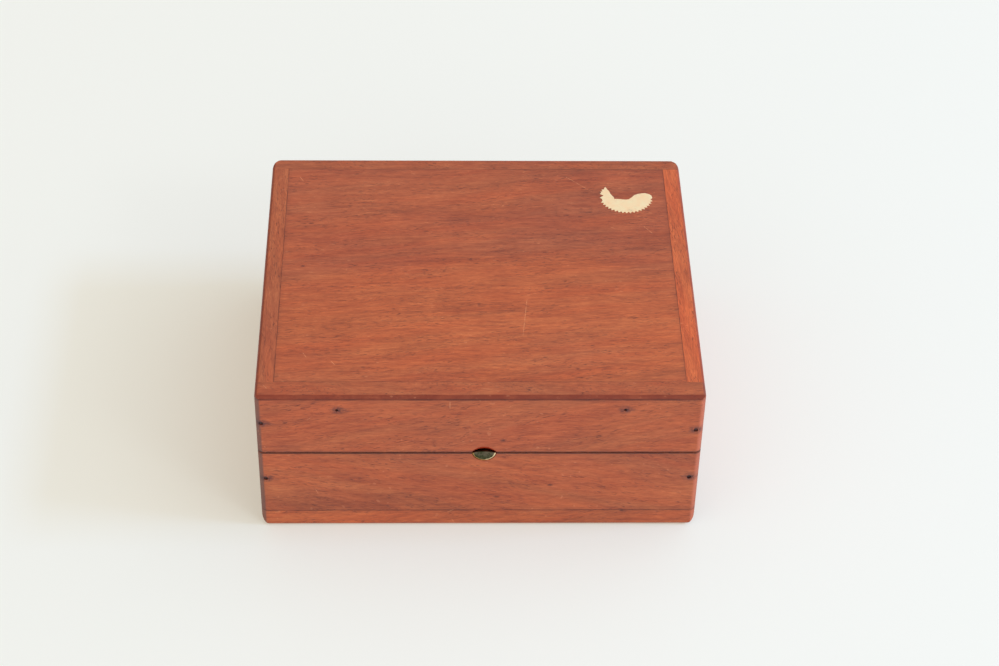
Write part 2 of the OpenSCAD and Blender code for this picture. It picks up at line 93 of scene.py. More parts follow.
class Graph:
    """A material's node tree. Each call takes numbers, colours or sockets and returns a socket."""

    def __init__(self, name):
        self.material = bpy.data.materials.new(name)
        self.material.use_nodes = True
        self.tree = self.material.node_tree
        self.tree.nodes.clear()
        coordinates = self.tree.nodes.new("ShaderNodeTexCoord")
        self.point = coordinates.outputs["Object"]
        self.normal = coordinates.outputs["Normal"]

    def add(self, kind, inputs=None, **settings):
        made = self.tree.nodes.new(kind)
        for key, value in settings.items():
            setattr(made, key, value)
        for key, value in (inputs or {}).items():
            socket = made.inputs[key]
            if isinstance(value, bpy.types.NodeSocket):
                self.tree.links.new(value, socket)
            else:
                socket.default_value = value
        return made

    def math(self, operation, a, b=0.0, clamp=False):
        return self.add("ShaderNodeMath", {0: a, 1: b}, operation=operation, use_clamp=clamp).outputs[0]

    def vector(self, operation, a, b=(0, 0, 0), out=0):
        return self.add("ShaderNodeVectorMath", {0: a, 1: b}, operation=operation).outputs[out]

    def parts(self, vector):
        split = self.add("ShaderNodeSeparateXYZ", {0: vector})
        return split.outputs[0], split.outputs[1], split.outputs[2]

    def mapped(self, vector, move=(0, 0, 0), turn=(0, 0, 0), scale=(1, 1, 1)):
        return self.add("ShaderNodeMapping", {"Vector": vector, "Location": move, "Rotation": turn,
                                              "Scale": scale}).outputs[0]

    def noise(self, vector, scale=1.0, detail=2.0, rough=0.5, out="Fac"):
        return self.add("ShaderNodeTexNoise", {"Vector": vector, "Scale": scale, "Detail": detail,
                                               "Roughness": rough}).outputs[out]

    def smooth(self, value, low, high, start=0.0, end=1.0):
        return self.add("ShaderNodeMapRange", {"Value": value, "From Min": low, "From Max": high,
                                               "To Min": start, "To Max": end},
                        interpolation_type="SMOOTHSTEP").outputs[0]

    def ramp(self, value, stops):
        made = self.add("ShaderNodeValToRGB", {"Fac": value})
        elements = made.color_ramp.elements
        while len(elements) < len(stops):
            elements.new(0.5)
        for element, (place, colour) in zip(elements, stops):
            element.position = place
            element.color = colour
        return made.outputs[0]

    def mix(self, share, a, b, blend="MIX"):
        made = self.add("ShaderNodeMix", {0: share, 6: a, 7: b}, data_type="RGBA", blend_type=blend)
        return made.outputs[2]

    def bump(self, height, distance, strength=1.0, normal=None):
        inputs = {"Height": height, "Distance": distance, "Strength": strength}
        if normal is not None:
            inputs["Normal"] = normal
        return self.add("ShaderNodeBump", inputs).outputs[0]

    def finish(self, **inputs):
        shader = self.add("ShaderNodeBsdfPrincipled", {k.replace("_", " "): v for k, v in inputs.items()})
        output = self.add("ShaderNodeOutputMaterial")
        self.tree.links.new(shader.outputs[0], output.inputs[0])
        return self.material

    # -- masks in the case's own space

    def near_segment(self, a, b, inner, outer):
        """1 within inner of the line from a to b, fading to 0 at outer."""
        a, b = Vector(a), Vector(b)
        along = b - a
        from_a = self.vector("SUBTRACT", self.point, a)
        share = self.math("DIVIDE", self.vector("DOT_PRODUCT", from_a, along, 1), along.length_squared, True)
        nearest = self.add("ShaderNodeVectorMath", {0: along, "Scale": share}, operation="SCALE").outputs[0]
        gap = self.vector("LENGTH", self.vector("SUBTRACT", from_a, nearest), out=1)
        return self.smooth(gap, inner, outer, 1.0, 0.0)

    def near_spot(self, centre, inner, outer, stretch=(1, 1, 1)):
        """1 within inner of a point, fading to 0 at outer; stretch below 1 lengthens it that way."""
        offset = self.vector("MULTIPLY", self.vector("SUBTRACT", self.point, centre), stretch)
        return self.smooth(self.vector("LENGTH", offset, out=1), inner, outer, 1.0, 0.0)

    def near_planes(self, planes, inner, outer):
        """1 within inner of any of the planes {axis: [places]}, fading to 0 at outer."""
        axes = self.parts(self.point)
        least = None
        for axis, places in planes.items():
            for place in places:
                gap = self.math("ABSOLUTE", self.math("SUBTRACT", axes[axis], place))
                least = gap if least is None else self.math("MINIMUM", least, gap)
        return self.smooth(least, inner, outer, 1.0, 0.0)

    def most(self, masks):
        """The largest of several masks."""
        result = masks[0]
        for mask in masks[1:]:
            result = self.math("MAXIMUM", result, mask)
        return result


# ---------------------------------------------------------------- marks that use has left

SCRATCH_INNER = 0.05 * MM
SCRATCH_OUTER = 0.22 * MM
TOP_SCRATCHES = [
    (on_top(33.0, 53.8), on_top(42.8, 44.4)),
    (on_top(58.9, 26.6), on_top(62.5, 21.5)),
    (on_top(16.7, -14.5), on_top(14.8, -33.6)),
    (on_top(-65.0, 54.0), on_top(-63.3, 51.1)),
    (on_top(-59.6, -42.3), on_top(-58.5, -44.3)),
    (on_top(-50.1, -46.2), on_top(-48.7, -48.2)),
    (on_top(-72.2, -58.0), on_top(-70.8, -59.9)),
]
LID_FRONT_SCRATCHES = [
    (on_front(-10.2, 58.9), on_front(-10.2, 56.1)),
    (on_front(-57.8, 50.6), on_front(-56.7, 51.6)),
]
BASE_FRONT_SCRATCHES = [
    (on_front(-56.2, 17.9), on_front(-55.2, 15.9)),
    (on_front(-27.0, 34.2), on_front(-27.0, 32.3)),
    (on_front(-10.7, 6.4), on_front(-8.9, 7.6)),
]
# Small dark specks: place, radius in mm
TOP_SPECKS = [(on_top(-61.5, 3.0), 0.7), (on_top(-2.8, 6.9), 0.8), (on_top(12.0, -35.7), 0.7),
              (on_top(16.0, -60.4), 0.7), (on_top(-12.0, 0.4), 0.5), (on_top(-18.0, 0.9), 0.5)]
LID_FRONT_SPECKS = [(on_front(7.8, 41.1), 1.0)]
BASE_FRONT_SPECKS = [(on_front(49.8, 7.1), 1.1), (on_front(24.2, 19.7), 0.9)]


def nail_places(node):
    """Where each nail of a group meets the face: its outer end, at the face's own depth."""
    points = [v.co for v in NODES[node].data.vertices]
    places = []
    for sign in (-1, 1):
        side = [p for p in points if p.x * sign > 0]
        x = (min(p.x for p in side) + max(p.x for p in side)) / 2
        z = (min(p.z for p in side) + max(p.z for p in side)) / 2
        outer = max((p.y for p in side), key=abs)
        places.append((x, outer, z))
    return places


# ---------------------------------------------------------------- finishes

GRAIN_ALONG_Y = (0, 0, math.pi / 2)
PLANK_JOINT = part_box("bottom_board")[1][2]
CHAMFER = 1.25 * MM
PARTING_SHADE = (0.14 * MM, 0.55 * MM)
JOINT_AND_SHADE_LINE = (0.10 * MM, 0.36 * MM)
JOINT_AND_SHADE_HAZE = (0.2 * MM, 2.0 * MM)
NAIL_STAIN = (0.3 * MM, 2.8 * MM)
NAIL_TAIL = (0.1 * MM, 1.3 * MM)
PORE_HEIGHT = 0.10 * MM


def blended(g, colour, mask, strength, over):
    """colour with over laid on it where mask is 1, at the given strength."""
    return g.mix(g.math("MULTIPLY", mask, strength), colour, over)


class Wood:
    """One board's finish, laid on layer by layer: colour, rough and height are the layers' results so far."""

    def __init__(self, name, seed, turn, slant):
        self.g = Graph(name)
        self.turn = turn
        g = self.g
        board = g.mapped(g.point, move=(seed * 0.37, seed * 0.11, seed * 0.23), turn=turn)
        wander = g.vector("SUBTRACT", g.noise(board, 22, 2, out="Color"), (0.5, 0.5, 0.5))
        self.grain = g.vector("ADD", board, g.vector("MULTIPLY", wander, (0.003, 0.004, 0.004)))
        self.slanted = g.mapped(self.grain, turn=tuple(math.radians(a) for a in slant))
        self.axes = g.parts(g.vector("ABSOLUTE", g.normal))

    def drawn(self, stretch, detail, rough, leaning=False):
        """Noise drawn out along the grain, or along the slanted figure."""
        g = self.g
        way = self.slanted if leaning else self.grain
        return g.noise(g.vector("MULTIPLY", way, stretch), 1, detail, rough)

    def lay_grain(self, blotch, painted_back_sheen):
        """Growth rings, streaks, fibres and figure, with redder bands and purplish-brown clouds, and, where
        asked, a painted purplish sheen growing towards the back.
        """
        g = self.g
        growth = self.drawn((11, 95, 95), 4, 0.6)
        self.streaks = self.drawn((60, 900, 900), 3, 0.65)
        self.fibres = self.drawn((330, 3600, 3600), 2, 0.7)
        figure = self.drawn((40, 420, 420), 4, 0.65, leaning=True)
        self.ribbon = self.drawn((90, 60, 60), 2, 0.5)
        patches = self.drawn((16, 34, 34), 3, 0.6)
        value = g.math("MULTIPLY", growth, 0.26)
        for part, weight in ((self.streaks, 0.36), (self.fibres, 0.50), (figure, 0.32), (self.ribbon, 0.12)):
            value = g.math("ADD", value, g.math("MULTIPLY", part, weight))
        value = g.math("SUBTRACT", value, 0.28)
        colour = g.ramp(value, [(0.24, rgb(118, 50, 33)), (0.44, rgb(166, 80, 48)),
                                (0.56, rgb(185, 94, 56)), (0.78, rgb(212, 119, 72))])
        band = self.drawn((14, 160, 160), 3, 0.6, leaning=True)
        bands = g.ramp(band, [(0.34, (1.04, 0.95, 0.90, 1)), (0.64, (0.96, 1.04, 1.06, 1))])
        colour = g.mix(1.0, colour, bands, "MULTIPLY")
        cloud = g.math("MULTIPLY", g.smooth(patches, 0.42, 0.68), blotch)
        # Painted reflection: towards the back the colour is made darker and bluer, standing in for the room's
        # sheen.
        if painted_back_sheen:
            cloud = g.math("ADD", cloud, self.towards_back(patches, painted_back_sheen), True)
        self.colour = g.mix(cloud, colour, (0.80, 0.80, 1.04, 1), "MULTIPLY")

    def towards_back(self, patches, strength):
        """0 at the middle of the box, growing to strength at its back, and sooner near the sides."""
        g = self.g
        x, y, _ = g.parts(g.point)
        far = g.math("ADD", y, g.math("MULTIPLY", g.math("ABSOLUTE", g.math("SUBTRACT", x, 8 * MM)), 0.38))
        far = g.math("ADD", far, g.math("MULTIPLY", patches, 0.05))
        return g.smooth(far, 0.0, 0.10, 0.0, strength)

    def lay_pores(self):
        """Open pores as dark dashes, and end grain, which drinks more finish and looks darker."""
        g = self.g
        pore_noise = self.drawn((420, 2600, 2600), 1, 0.5, leaning=True)
        pore_clumps = self.drawn((50, 210, 210), 2, 0.5)
        pores = g.math("MULTIPLY", g.smooth(pore_noise, 0.58, 0.70), g.smooth(pore_clumps, 0.34, 0.62))
        self.colour = blended(g, self.colour, pores, 0.66, rgb(88, 36, 28))
        end_grain = g.smooth(self.axes[1 if self.turn[2] else 0], 0.75, 0.95)
        self.colour = blended(g, self.colour, end_grain, 0.55, rgb(118, 58, 42))
        self.rough = g.math("ADD", g.math("MULTIPLY", self.streaks, 0.16), 0.38)
        self.rough = g.math("ADD", self.rough, g.math("MULTIPLY", end_grain, 0.12))
        self.height = g.math("SUBTRACT", g.math("MULTIPLY", self.fibres, 0.5), pores)

    def lay_edges(self):
        """Painted shade on rounded and chamfered edges, darkest along the top chamfer, painted shade on the
        left corners, a painted highlight on the right ones, and pale wear.
        """
        g = self.g
        along_x, along_y, along_z = self.axes
        corner = g.math("MULTIPLY", along_x, along_y)
        leaning = g.math("MAXIMUM", corner, g.math("MAXIMUM", g.math("MULTIPLY", along_x, along_z),
                                                   g.math("MULTIPLY", along_y, along_z)))
        eased = g.smooth(leaning, 0.10, 0.48)
        upright = g.smooth(corner, 0.10, 0.40)
        left_side = g.smooth(g.parts(g.point)[0], -20 * MM, 20 * MM, 1.0, 0.0)
        lit_right_corner = g.math("MULTIPLY", upright, g.math("SUBTRACT", 1.0, left_side))
        near_top = g.near_planes({2: [TOP]}, 1.2 * MM, 2.2 * MM)
        uneven = g.smooth(g.noise(g.point, 240, 3, 0.6), 0.30, 0.65, 0.75, 1.0)
        # Painted shade: eased edges are darkened, most along the top chamfer, where the finish shows no
        # sheen.
        dark = g.math("MULTIPLY", g.math("MULTIPLY", eased, g.smooth(near_top, 0, 1, 0.40, 0.84)), uneven)
        dark = g.math("MULTIPLY", dark, g.math("SUBTRACT", 1.0, g.math("MULTIPLY", lit_right_corner, 0.9)))
        colour = g.mix(dark, self.colour, rgb(120, 38, 18))
        # Painted shade: the upright left corners face the dim side of the room and are greyed.
        colour = blended(g, colour, g.math("MULTIPLY", upright, left_side), 0.62, rgb(98, 78, 74))
        # Painted highlight: the upright right corners face the window and are made paler and pinker.
        colour = blended(g, colour, lit_right_corner, 0.35, rgb(214, 118, 92))
        wear = g.smooth(g.noise(g.point, 420, 4, 0.7), 0.58, 0.74)
        self.colour = blended(g, colour, g.math("MULTIPLY", wear, eased), 0.28, rgb(206, 118, 80))

    def lay_nicks(self):
        """Small pale nicks of long use, anywhere."""
        g = self.g
        spread = g.mapped(g.point, turn=(0.5, 0.4, 0.7), scale=(1, 2.6, 1))
        nicks = g.noise(spread, 620, 0)
        nicks = g.math("MULTIPLY", g.smooth(nicks, 0.765, 0.80), g.smooth(self.ribbon, 0.45, 0.60))
        self.colour = blended(g, self.colour, nicks, 0.24, rgb(224, 146, 104))

    def lay_joints_and_shade_lines(self, joints, parting):
        """Dark lines, with old finish and dirt, where boards meet at a face; at the parting line and at the
        foot of the top chamfer these lines are painted shade, and the parting line gets a near-black line of
        painted shade along the gap between lid and base.
        """
        g = self.g
        shown = g.smooth(self.axes[2], 0.8, 0.95, 1.0, 0.0) if 2 in joints else 1.0
        line = g.math("MULTIPLY", g.near_planes(joints, *JOINT_AND_SHADE_LINE), shown)
        haze = g.math("MULTIPLY", g.near_planes(joints, *JOINT_AND_SHADE_HAZE), shown)
        uneven = g.smooth(g.noise(g.point, 130, 3), 0.34, 0.62, 0.25, 0.85)
        self.colour = g.mix(g.math("MULTIPLY", line, uneven), self.colour, rgb(86, 36, 26))
        self.colour = blended(g, self.colour, haze, 0.16, rgb(110, 52, 40))
        if parting is not None:
            # Painted shade: a near-black, ragged line along the gap at the parting line.
            gap_shade = g.math("MULTIPLY", g.near_planes({2: [parting]}, *PARTING_SHADE), shown)
            streaked = g.noise(g.vector("MULTIPLY", g.point, (1, 1, 4)), 420, 3, 0.6)
            ragged = g.smooth(streaked, 0.30, 0.55, 0.55, 1.0)
            self.colour = g.mix(g.math("MULTIPLY", gap_shade, ragged), self.colour, rgb(44, 20, 18))

    def lay_scoop(self, place):
        """Painted shade in the scoop round place: a deep saturated red, as of wood lit only by light bounced
        inside it.
        """
        g = self.g
        depth = g.math("SUBTRACT", g.parts(g.point)[1], FRONT)
        inside = g.math("MULTIPLY", g.smooth(depth, 0.08 * MM, 0.7 * MM),
                        g.near_spot(place, 3.9 * MM, 4.9 * MM))
        # Painted shade: the inside of the scoop takes the saturated red of shaded, inter-reflected wood.
        self.colour = blended(g, self.colour, inside, 0.75, rgb(186, 56, 24))

    def lay_scratches(self, scratches):
        g = self.g
        broken = g.smooth(g.noise(g.point, 900, 2), 0.32, 0.60)
        lines = [g.near_segment(a, b, SCRATCH_INNER, SCRATCH_OUTER) for a, b in scratches]
        scratch = g.math("MULTIPLY", g.most(lines), broken)
        self.colour = blended(g, self.colour, scratch, 0.5, rgb(226, 150, 108))
        self.height = g.math("SUBTRACT", self.height, scratch)
        self.rough = g.math("ADD", self.rough, g.math("MULTIPLY", scratch, 0.15))

    def lay_specks(self, specks):
        g = self.g
        spots = [g.near_spot(p, 0.15 * r * MM, r * MM, (0.6, 1, 1)) for p, r in specks]
        fuzzy = g.smooth(g.noise(g.point, 1400, 2), 0.25, 0.60)
        self.colour = blended(g, self.colour, g.math("MULTIPLY", g.most(spots), fuzzy), 0.8, rgb(72, 34, 36))

    def lay_stains(self, nails):
        """Blue-black iron stains round each nail, with a tail to its right."""
        g = self.g
        rings = [g.near_spot((x + 0.2 * MM, y, z + 0.05 * MM), *NAIL_STAIN, (0.80, 0, 1.1))
                 for x, y, z in nails]
        tails = [g.near_spot((x + 1.6 * MM, y, z - 0.2 * MM), *NAIL_TAIL, (0.30, 0, 1.4))
                 for x, y, z in nails]
        stain = g.most([g.most(rings), g.math("MULTIPLY", g.most(tails), 0.6)])
        stain = g.math("MULTIPLY", stain, g.smooth(g.noise(g.point, 1100, 2), 0.30, 0.60, 0.3, 0.9))
        self.colour = g.mix(stain, self.colour, rgb(66, 36, 44))

    def finish(self, tint):
        g = self.g
        if tint != (1, 1, 1):
            self.colour = g.mix(1.0, self.colour, (*tint, 1), "MULTIPLY")
        return g.finish(Base_Color=self.colour, Roughness=self.rough, IOR=1.45,
                        Normal=g.bump(self.height, PORE_HEIGHT, 0.45))


def wood(name, seed, turn=(0, 0, 0), slant=(0, 0, -9), tint=(1, 1, 1), scratches=(), specks=(), nails=(),
         joints=None, parting=None, blotch=0.4, painted_back_sheen=0.0, scoop=None):
    """Oiled reddish hardwood with its grain along X before turn. seed moves the board through the tree,
    slant, in degrees, is how its figure leans, parting is the height of an opening line of painted shade,
    the back-sheen strength paints a purplish sheen towards the back and scoop is a place that is scooped out."""
    board = Wood(name, seed, turn, slant)
    board.lay_grain(blotch, painted_back_sheen)
    board.lay_pores()
    board.lay_edges()
    board.lay_nicks()
    if joints:
        board.lay_joints_and_shade_lines(joints, parting)
    if scoop:
        board.lay_scoop(scoop)
    if scratches:
        board.lay_scratches(scratches)
    if specks:
        board.lay_specks(specks)
    if nails:
        board.lay_stains(nails)
    return board.finish(tint)


def rack_wood():
    """Unfinished inner wood, paler and matt, grain along X."""
    g = Graph("Rack wood")
    wander = g.vector("SUBTRACT", g.noise(g.point, 20, 2, out="Color"), (0.5, 0.5, 0.5))
    grain = g.vector("ADD", g.point, g.vector("MULTIPLY", wander, (0.004, 0.005, 0.005)))
    growth = g.noise(g.vector("MULTIPLY", grain, (10, 150, 150)), 1, 4, 0.6)
    fibres = g.noise(g.vector("MULTIPLY", grain, (220, 2600, 2600)), 1, 2, 0.6)
    value = g.math("ADD", g.math("MULTIPLY", growth, 0.7), g.math("MULTIPLY", fibres, 0.3))
    colour = g.ramp(value, [(0.34, rgb(116, 66, 42)), (0.5, rgb(150, 92, 60)), (0.68, rgb(176, 116, 78))])
    dust = g.smooth(g.noise(g.point, 70, 4, 0.6), 0.45, 0.75)
    colour = g.mix(g.math("MULTIPLY", dust, 0.25), colour, rgb(186, 160, 134))
    return g.finish(Base_Color=colour, Roughness=g.smooth(growth, 0.2, 0.8, 0.55, 0.75),
                    Normal=g.bump(fibres, 0.08 * MM, 0.4))


def brass(name="Aged brass", tarnish=0.5):
    """Brass that has yellowed and browned with age."""
    g = Graph(name)
    clouds = g.noise(g.point, 300, 4, 0.6)
    spots = g.noise(g.point, 1600, 3, 0.6)
    age = g.math("MULTIPLY", g.smooth(clouds, 0.35, 0.65), tarnish)
    colour = g.mix(age, rgb(214, 172, 96), rgb(136, 98, 54))
    colour = g.mix(g.math("MULTIPLY", g.smooth(spots, 0.60, 0.72), 0.6), colour, rgb(86, 66, 44))
    rough = g.math("ADD", g.math("MULTIPLY", spots, 0.20), g.smooth(clouds, 0.3, 0.7, 0.18, 0.36))
    brushed = g.noise(g.vector("MULTIPLY", g.point, (700, 9000, 9000)), 1, 2)
    return g.finish(Base_Color=colour, Metallic=1.0, Roughness=rough,
                    Normal=g.bump(brushed, 0.02 * MM, 0.3))


def button_brass():
    """Brass with a painted highlight on the rim growing towards its right, and a dark greenish film in the
    dish.
    """
    g = Graph("Button brass")
    centre = (BUTTON_X, BUTTON_LOW[1], BUTTON_LOW[2] + (BUTTON_HIGH[0] - BUTTON_LOW[0]) / 2)
    flat = g.vector("MULTIPLY", g.vector("SUBTRACT", g.point, centre), (1, 0, 1))
    radius = g.vector("LENGTH", flat, out=1)
    clouds = g.noise(g.point, 700, 3, 0.6)
    wobble = g.math("MULTIPLY", g.math("SUBTRACT", clouds, 0.5), 0.5 * MM)
    film = g.smooth(g.math("ADD", radius, wobble), 3.50 * MM, 3.85 * MM, 1.0, 0.0)
    dark = g.mix(g.smooth(clouds, 0.35, 0.65), rgb(62, 66, 44), rgb(100, 92, 76))
    # Painted highlight: the rim turns from dull to bright brass towards the right, where the window is.
    across = g.math("DIVIDE", g.math("SUBTRACT", g.parts(g.point)[0], BUTTON_X), 4.1 * MM)
    bright = g.smooth(g.math("ADD", across, g.math("MULTIPLY", clouds, 0.6)), 0.10, 0.85)
    rim = g.mix(bright, rgb(176, 138, 84), rgb(255, 232, 184))
    colour = g.mix(film, rim, dark)
    rough = g.math("ADD", g.smooth(clouds, 0.3, 0.7, 0.12, 0.22), g.math("MULTIPLY", film, 0.12))
    return g.finish(Base_Color=colour, Metallic=1.0, Roughness=rough,
                    Normal=g.bump(g.noise(g.point, 2500, 2), 0.02 * MM, 0.4))


def spring_steel():
    g = Graph("Spring steel")
    drawn = g.noise(g.vector("MULTIPLY", g.point, (9000, 9000, 500)), 1, 2)
    rust = g.smooth(g.noise(g.point, 420, 4, 0.65), 0.52, 0.70)
    colour = g.mix(g.math("MULTIPLY", rust, 0.7), rgb(150, 152, 156), rgb(96, 62, 44))
    rough = g.math("ADD", g.math("MULTIPLY", drawn, 0.15), g.smooth(rust, 0, 1, 0.25, 0.6))
    return g.finish(Base_Color=colour, Metallic=0.9, Roughness=rough, Normal=g.bump(drawn, 0.02 * MM, 0.3))


def iron():
    """Rusted nail ends, nearly black."""
    g = Graph("Iron")
    grit = g.noise(g.point, 2400, 4, 0.7)
    colour = g.mix(g.smooth(grit, 0.35, 0.7), rgb(62, 44, 50), rgb(102, 68, 64))
    return g.finish(Base_Color=colour, Metallic=0.3, Roughness=g.smooth(grit, 0.2, 0.8, 0.55, 0.85),
                    Normal=g.bump(grit, 0.08 * MM, 0.8))


def felt():
    """Black wool felt, faintly dusty, with its fibres pressed flat."""
    g = Graph("Felt")
    tufts = g.noise(g.point, 900, 4, 0.7)
    strands = g.noise(g.vector("ADD", g.vector("MULTIPLY", g.point, (1500, 4200, 1500)),
                               g.vector("MULTIPLY", g.noise(g.point, 500, 2, out="Color"), (6, 6, 6))), 1, 2)
    worn = g.noise(g.point, 45, 3, 0.5)
    colour = g.mix(g.smooth(tufts, 0.3, 0.7), rgb(22, 22, 24), rgb(46, 45, 46))
    colour = g.mix(g.math("MULTIPLY", g.smooth(strands, 0.62, 0.74), 0.5), colour, rgb(92, 88, 84))
    colour = g.mix(g.math("MULTIPLY", g.smooth(worn, 0.5, 0.75), 0.35), colour, rgb(74, 68, 62))
    height = g.math("ADD", tufts, g.math("MULTIPLY", strands, 0.5))
    return g.finish(Base_Color=colour, Roughness=0.95, Sheen_Weight=0.4, Sheen_Roughness=0.5,
                    Normal=g.bump(height, 0.25 * MM, 0.8))


def paper():
    """Old gummed paper, cream, with a faint grey smudge near its lower edge."""
    g = Graph("Paper")
    low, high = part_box("paper_label")
    fibre = g.noise(g.vector("MULTIPLY", g.point, (1400, 1400, 1400)), 1, 4, 0.7)
    cloud = g.noise(g.point, 260, 3, 0.6)
    colour = g.mix(g.smooth(cloud, 0.3, 0.7), rgb(250, 212, 164), rgb(246, 222, 176))
    smudge_at = ((low[0] + high[0]) / 2 + 1.2 * MM, low[1] + 1.7 * MM, high[2])
    smudge = g.math("MULTIPLY", g.near_spot(smudge_at, 0.1 * MM, 1.1 * MM, (0.7, 1, 1)),
                    g.smooth(fibre, 0.35, 0.6))
    colour = g.mix(g.math("MULTIPLY", smudge, 0.45), colour, rgb(170, 158, 128))
    colour = g.mix(g.math("MULTIPLY", g.smooth(fibre, 0.55, 0.8), 0.25), colour, rgb(252, 236, 206))
    worn_edge = g.smooth(g.noise(g.point, 500, 3, 0.7), 0.52, 0.72)
    colour = g.mix(g.math("MULTIPLY", worn_edge, 0.30), colour, rgb(228, 178, 136))
    return g.finish(Base_Color=colour, Roughness=0.85, Normal=g.bump(fibre, 0.05 * MM, 0.5))


def board_finishes():
    """A wood finish for each board: its own piece of the tree, its own marks."""
    upright = (0, 14, 0)
    return {
        # The panel carries a painted purplish sheen towards the back.
        "lid_panel": wood("Panel wood", 3, scratches=TOP_SCRATCHES, specks=TOP_SPECKS,
                          blotch=0.45, painted_back_sheen=0.8, tint=(1.16, 1.13, 1.0),
                          joints={0: [PANEL_LOW[0], PANEL_HIGH[0]], 1: [PANEL_LOW[1], PANEL_HIGH[1]]}),
        "lid_front_wall": wood("Lid front wood", 7, slant=(0, 16, 0),
                               scratches=LID_FRONT_SCRATCHES + TOP_SCRATCHES[-1:],
                               specks=LID_FRONT_SPECKS + TOP_SPECKS[3:4],
                               # Both lines here are painted shade: the gap at the parting line and the foot
                               # of the top chamfer.
                               joints={2: [LID_RIM, TOP - CHAMFER]}, parting=LID_RIM,
                               scoop=(BUTTON_X, FRONT + 0.5 * MM, LID_RIM + 0.6 * MM),
                               nails=nail_places("lid_front_nails") + nail_places("panel_pins")),
        "lid_back_wall": wood("Lid back wood", 12, slant=upright, nails=nail_places("lid_back_nails")),
        "lid_left_wall": wood("Lid left wood", 17, GRAIN_ALONG_Y),
        # Painted light: the lid's right wall is tinted paler and warmer, as the window on the right lights
        # it.
        "lid_right_wall": wood("Lid right wood", 21, GRAIN_ALONG_Y, tint=(1.36, 1.20, 1.0), blotch=0.1),
        "base_front_wall": wood("Base front wood", 26, slant=(0, -15, 0), scratches=BASE_FRONT_SCRATCHES,
                                # The line at the seam is painted shade of the gap; the one at the bottom
                                # board is a real joint.
                                specks=BASE_FRONT_SPECKS, joints={2: [SEAM, PLANK_JOINT]}, parting=SEAM,
                                tint=(0.97, 0.98, 0.98),
                                nails=nail_places("base_front_nails")),
        "base_back_wall": wood("Base back wood", 31, slant=upright, joints={2: [PLANK_JOINT]},
                               nails=nail_places("base_back_nails")),
        "base_left_wall": wood("Base left wood", 35, GRAIN_ALONG_Y, joints={2: [PLANK_JOINT]}),
        # Painted light: the base's right wall is tinted paler and warmer, as the window on the right lights
        # it.
        "base_right_wall": wood("Base right wood", 41, GRAIN_ALONG_Y, tint=(1.24, 1.13, 1.0), blotch=0.2,
                                joints={2: [PLANK_JOINT]}),
        "bottom_board": wood("Bottom board wood", 45, slant=upright, tint=(1.06, 1.04, 0.96), blotch=0.2,
                             scratches=BASE_FRONT_SCRATCHES[-1:], specks=BASE_FRONT_SPECKS[:1],
                             joints={2: [PLANK_JOINT]}),
    }


# ---------------------------------------------------------------- shapes

# How much the edges of each kind of piece are eased
BOARD_EASE = 0.22 * MM
RACK_EASE = 0.15 * MM
BRASS_EASE = 0.08 * MM
STEEL_EASE = 0.06 * MM
IRON_EASE = 0.10 * MM
BUTTON_EASE = 0.12 * MM
PAPER_EASE = 0.02 * MM
# Points nearer than this are joined
WELD = 0.001 * MM
# The latch spring is cut into this many rings, from just above its upper screw
SPRING_RINGS = 14
SCREW_CLEARANCE = 0.4 * MM


def adopt(obj, node, material):
    """obj stands for a CAD node: it rides on the node's body and takes its slot."""
    obj.data.materials.clear()
    obj.data.materials.append(material)
    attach(obj, BODY_OF[node])
    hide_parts(node)
    return obj


def linked(name, bm):
    """A smooth-shaded object made from a bmesh, its flat faces kept flat by weighted normals."""
    mesh = bpy.data.meshes.new(name)
    bm.normal_update()
    bm.to_mesh(mesh)
    bm.free()
    for face in mesh.polygons:
        face.use_smooth = True
    obj = bpy.data.objects.new(name, mesh)
    bpy.context.scene.collection.objects.link(obj)
    weigh = obj.modifiers.new("Flat faces stay flat", "WEIGHTED_NORMAL")
    weigh.mode = "FACE_AREA"
    weigh.weight = 100
    return obj


def softened(node, width, segments=2, sharp=28):
    """A copy of a CAD node's shape whose edges are eased by width."""
    bm = bmesh.new()
    bm.from_mesh(NODES[node].data)
    bmesh.ops.remove_doubles(bm, verts=bm.verts, dist=1e-7)
    bmesh.ops.dissolve_limit(bm, angle_limit=math.radians(0.3), verts=bm.verts, edges=bm.edges)
    hard = [e for e in bm.edges if len(e.link_faces) == 2 and e.calc_face_angle(0) > math.radians(sharp)]
    bmesh.ops.bevel(bm, geom=hard, offset=width, offset_type="OFFSET", segments=segments, profile=0.5,
                    affect="EDGES", clamp_overlap=True)
    # Where the easing runs out at a tiny edge it leaves slivers, which close up here
    bmesh.ops.remove_doubles(bm, verts=bm.verts, dist=WELD)
    bmesh.ops.dissolve_degenerate(bm, dist=WELD, edges=bm.edges)
    return linked(node + "_soft", bm)


def bending_spring(material):
    """The latch spring, held at its foot by the screws and pushed back by the button's stem; its shape is cut
    into rings between the two.
    """
    spring = softened("latch_spring", STEEL_EASE)
    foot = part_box("latch_spring_screws")[1][2] + SCREW_CLEARANCE
    stem = (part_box("button_collar")[0][2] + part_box("button_collar")[1][2]) / 2
    bm = bmesh.new()
    bm.from_mesh(spring.data)
    for i in range(SPRING_RINGS + 1):
        cut = foot + (stem - foot) * i / SPRING_RINGS
        bmesh.ops.bisect_plane(bm, geom=bm.verts[:] + bm.edges[:] + bm.faces[:], dist=1e-7,
                               plane_co=(0, 0, cut), plane_no=(0, 0, 1))
    bm.to_mesh(spring.data)
    bm.free()
    for face in spring.data.polygons:
        face.use_smooth = True
    spring.data.materials.clear()
    spring.data.materials.append(material)
    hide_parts("latch_spring")
    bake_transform(spring)


